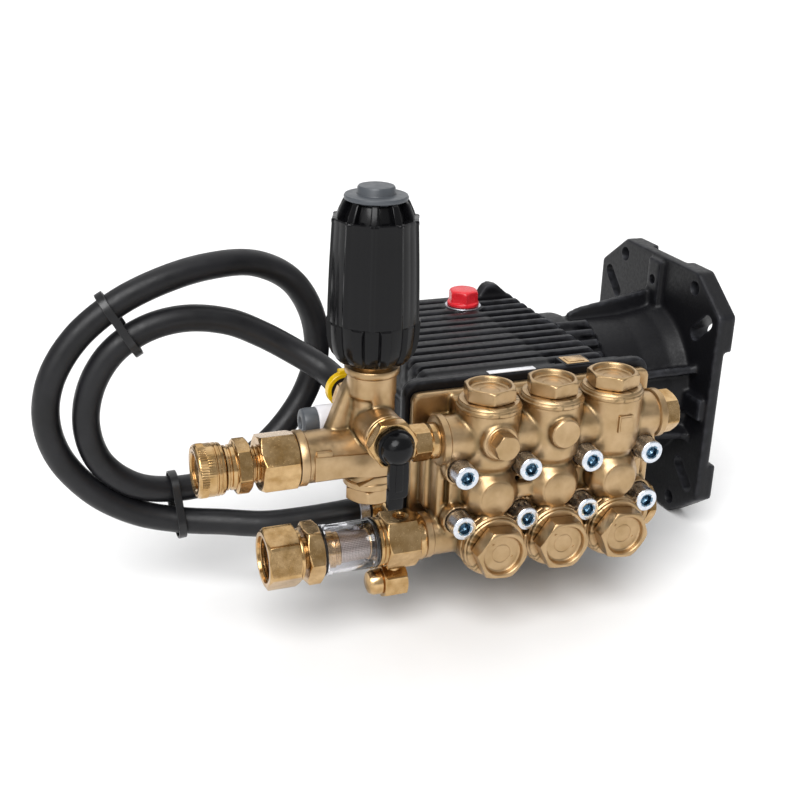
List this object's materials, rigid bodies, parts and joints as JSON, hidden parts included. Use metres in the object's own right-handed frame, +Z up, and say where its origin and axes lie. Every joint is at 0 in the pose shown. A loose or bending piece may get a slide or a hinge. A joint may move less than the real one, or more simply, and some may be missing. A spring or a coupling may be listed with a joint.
{
  "type": "pressure washer pump",
  "caption": "Engine-driven triplex plunger pump with brass head, finned crankcase, engine flange, unloader knob, quick coupler, inlet strainer and bypass hose.",
  "frame": {"origin": "centre of the engine face of the flange, on the crankshaft axis", "axes": "+X along the crankshaft towards the engine, +Y from the brass head towards the back of the crankcase, +Z up"},
  "size_m": [0.4102, 0.2349, 0.242],
  "materials": {
    "forged_brass": "bead-blasted forging",
    "turned_brass": "machined bright",
    "black_cast": "black enamel on die-cast aluminium",
    "zinc_steel": "zinc plated",
    "ground_steel": "ground",
    "ceramic_plunger": "fired and ground ceramic",
    "black_plastic": "moulded, fine matt texture",
    "red_plastic": "moulded satin",
    "white_plastic": "moulded satin",
    "black_rubber": "smooth cover, satin",
    "clear_plastic": "clear moulded bowl",
    "yellow_band": "yellow passivated band",
    "steel_mesh": "woven wire"
  },
  "bodies": {
    "pump_body": {"manifold_head": "forged_brass", "head_bolt_upper_1": "zinc_steel", "head_bolt_upper_2": "zinc_steel", "head_bolt_upper_3": "zinc_steel", "head_bolt_upper_4": "zinc_steel", "head_bolt_lower_1": "zinc_steel", "head_bolt_lower_2": "zinc_steel", "head_bolt_lower_3": "zinc_steel", "head_bolt_lower_4": "zinc_steel", "delivery_cap_1": "forged_brass", "delivery_cap_2": "forged_brass", "delivery_cap_3": "forged_brass", "suction_cap_1": "forged_brass", "suction_cap_2": "forged_brass", "suction_cap_3": "forged_brass", "gauge_port_plug": "forged_brass", "discharge_plug": "forged_brass", "inlet_plug": "forged_brass", "crankcase": "black_cast", "side_cover": "black_cast", "rear_cover": "black_cast", "oil_sight_glass": "clear_plastic", "engine_flange": "black_cast", "unloader_body": "forged_brass", "unloader_bottom_plug": "forged_brass", "discharge_nipple": "turned_brass", "valve_bonnet": "turned_brass", "bypass_barb": "turned_brass", "check_valve_cap": "white_plastic", "outlet_nut": "turned_brass", "coupler_body": "turned_brass", "strainer_cap": "turned_brass", "strainer_bowl": "clear_plastic", "strainer_screen": "steel_mesh", "inlet_fitting": "turned_brass", "relief_valve": "turned_brass", "bypass_hose": "black_rubber", "hose_clamp": "yellow_band", "cable_tie_1": "black_plastic", "cable_tie_2": "black_plastic"},
    "crank": {"crankshaft": "ground_steel"},
    "rod_1": {"connecting_rod_1": "ground_steel"},
    "plunger_1": {"plunger_1": "ceramic_plunger"},
    "delivery_valve_1": {"delivery_valve_1": "ground_steel"},
    "suction_valve_1": {"suction_valve_1": "ground_steel"},
    "rod_2": {"connecting_rod_2": "ground_steel"},
    "plunger_2": {"plunger_2": "ceramic_plunger"},
    "delivery_valve_2": {"delivery_valve_2": "ground_steel"},
    "suction_valve_2": {"suction_valve_2": "ground_steel"},
    "rod_3": {"connecting_rod_3": "ground_steel"},
    "plunger_3": {"plunger_3": "ceramic_plunger"},
    "delivery_valve_3": {"delivery_valve_3": "ground_steel"},
    "suction_valve_3": {"suction_valve_3": "ground_steel"},
    "adjuster": {"spring_seat": "turned_brass"},
    "knob": {"pressure_knob": "black_plastic"},
    "piston": {"unloader_piston": "ground_steel"},
    "lever": {"valve_lever": "black_plastic"},
    "sleeve": {"coupler_sleeve": "turned_brass"},
    "inlet_swivel": {"inlet_nut": "turned_brass"},
    "oil_filler": {"oil_cap": "red_plastic"}
  },
  "joints": [
    {"name": "crank_turn", "type": "hinge", "parent": "pump_body", "child": "crank", "pos_m": [-0.1513, 0, 0], "axis": [1, 0, 0], "continuous": true},
    {"name": "rod_1_pivot", "type": "hinge", "parent": "crank", "child": "rod_1", "pos_m": [-0.1878, 0, 0.006], "axis": [1, 0, 0], "continuous": true},
    {"name": "plunger_1_stroke", "type": "slide", "parent": "pump_body", "child": "plunger_1", "axis": [0, 1, 0], "range_m": [-0.006, 0.006]},
    {"name": "delivery_valve_1_lift", "type": "slide", "parent": "pump_body", "child": "delivery_valve_1", "axis": [0, 0, 1], "range_m": [0, 0.0025], "stiffness_N_per_m": 400, "springref_m": -0.002},
    {"name": "suction_valve_1_lift", "type": "slide", "parent": "pump_body", "child": "suction_valve_1", "axis": [0, -1, 0], "range_m": [0, 0.0025], "stiffness_N_per_m": 400, "springref_m": -0.002},
    {"name": "rod_2_pivot", "type": "hinge", "parent": "crank", "child": "rod_2", "pos_m": [-0.1513, -0.0052, -0.003], "axis": [1, 0, 0], "continuous": true},
    {"name": "plunger_2_stroke", "type": "slide", "parent": "pump_body", "child": "plunger_2", "axis": [0, 1, 0], "range_m": [-0.0008, 0.0112]},
    {"name": "delivery_valve_2_lift", "type": "slide", "parent": "pump_body", "child": "delivery_valve_2", "axis": [0, 0, 1], "range_m": [0, 0.0025], "stiffness_N_per_m": 400, "springref_m": -0.002},
    {"name": "suction_valve_2_lift", "type": "slide", "parent": "pump_body", "child": "suction_valve_2", "axis": [0, -1, 0], "range_m": [0, 0.0025], "stiffness_N_per_m": 400, "springref_m": -0.002},
    {"name": "rod_3_pivot", "type": "hinge", "parent": "crank", "child": "rod_3", "pos_m": [-0.1148, 0.0052, -0.003], "axis": [1, 0, 0], "continuous": true},
    {"name": "plunger_3_stroke", "type": "slide", "parent": "pump_body", "child": "plunger_3", "axis": [0, 1, 0], "range_m": [-0.0112, 0.0008]},
    {"name": "delivery_valve_3_lift", "type": "slide", "parent": "pump_body", "child": "delivery_valve_3", "axis": [0, 0, 1], "range_m": [0, 0.0025], "stiffness_N_per_m": 400, "springref_m": -0.002},
    {"name": "suction_valve_3_lift", "type": "slide", "parent": "pump_body", "child": "suction_valve_3", "axis": [0, -1, 0], "range_m": [0, 0.0025], "stiffness_N_per_m": 400, "springref_m": -0.002},
    {"name": "adjuster_travel", "type": "slide", "parent": "pump_body", "child": "adjuster", "axis": [0, 0, 1], "range_m": [-0.0016, 0.0031]},
    {"name": "knob_turn", "type": "hinge", "parent": "adjuster", "child": "knob", "pos_m": [-0.253, -0.1207, 0.1], "axis": [0, 0, 1], "range_deg": [-360, 720]},
    {"name": "piston_travel", "type": "slide", "parent": "pump_body", "child": "piston", "axis": [0, 0, 1], "range_m": [0, 0.003], "stiffness_N_per_m": 2000, "springref_m": -0.002},
    {"name": "lever_turn", "type": "hinge", "parent": "pump_body", "child": "lever", "pos_m": [-0.253, -0.1589, 0.046], "axis": [0, 1, 0], "range_deg": [0, 90]},
    {"name": "sleeve_slide", "type": "slide", "parent": "pump_body", "child": "sleeve", "axis": [1, 0, 0], "range_m": [0, 0.004], "stiffness_N_per_m": 800, "springref_m": -0.003},
    {"name": "inlet_nut_turn", "type": "hinge", "parent": "pump_body", "child": "inlet_swivel", "pos_m": [-0.3013, -0.1169, -0.0265], "axis": [1, 0, 0], "continuous": true},
    {"name": "oil_cap_turn", "type": "hinge", "parent": "pump_body", "child": "oil_filler", "pos_m": [-0.1373, 0.0281, 0.055], "axis": [0, 0, 1], "range_deg": [0, 720]}
  ],
  "couplings": [
    {"joint": "rod_1_pivot", "follows": "crank_turn", "ratio": -1},
    {"joint": "rod_2_pivot", "follows": "crank_turn", "ratio": -1},
    {"joint": "rod_3_pivot", "follows": "crank_turn", "ratio": -1},
    {"joint": "adjuster_travel", "follows": "knob_turn", "m_per_rad": 0.0002387}
  ]
}
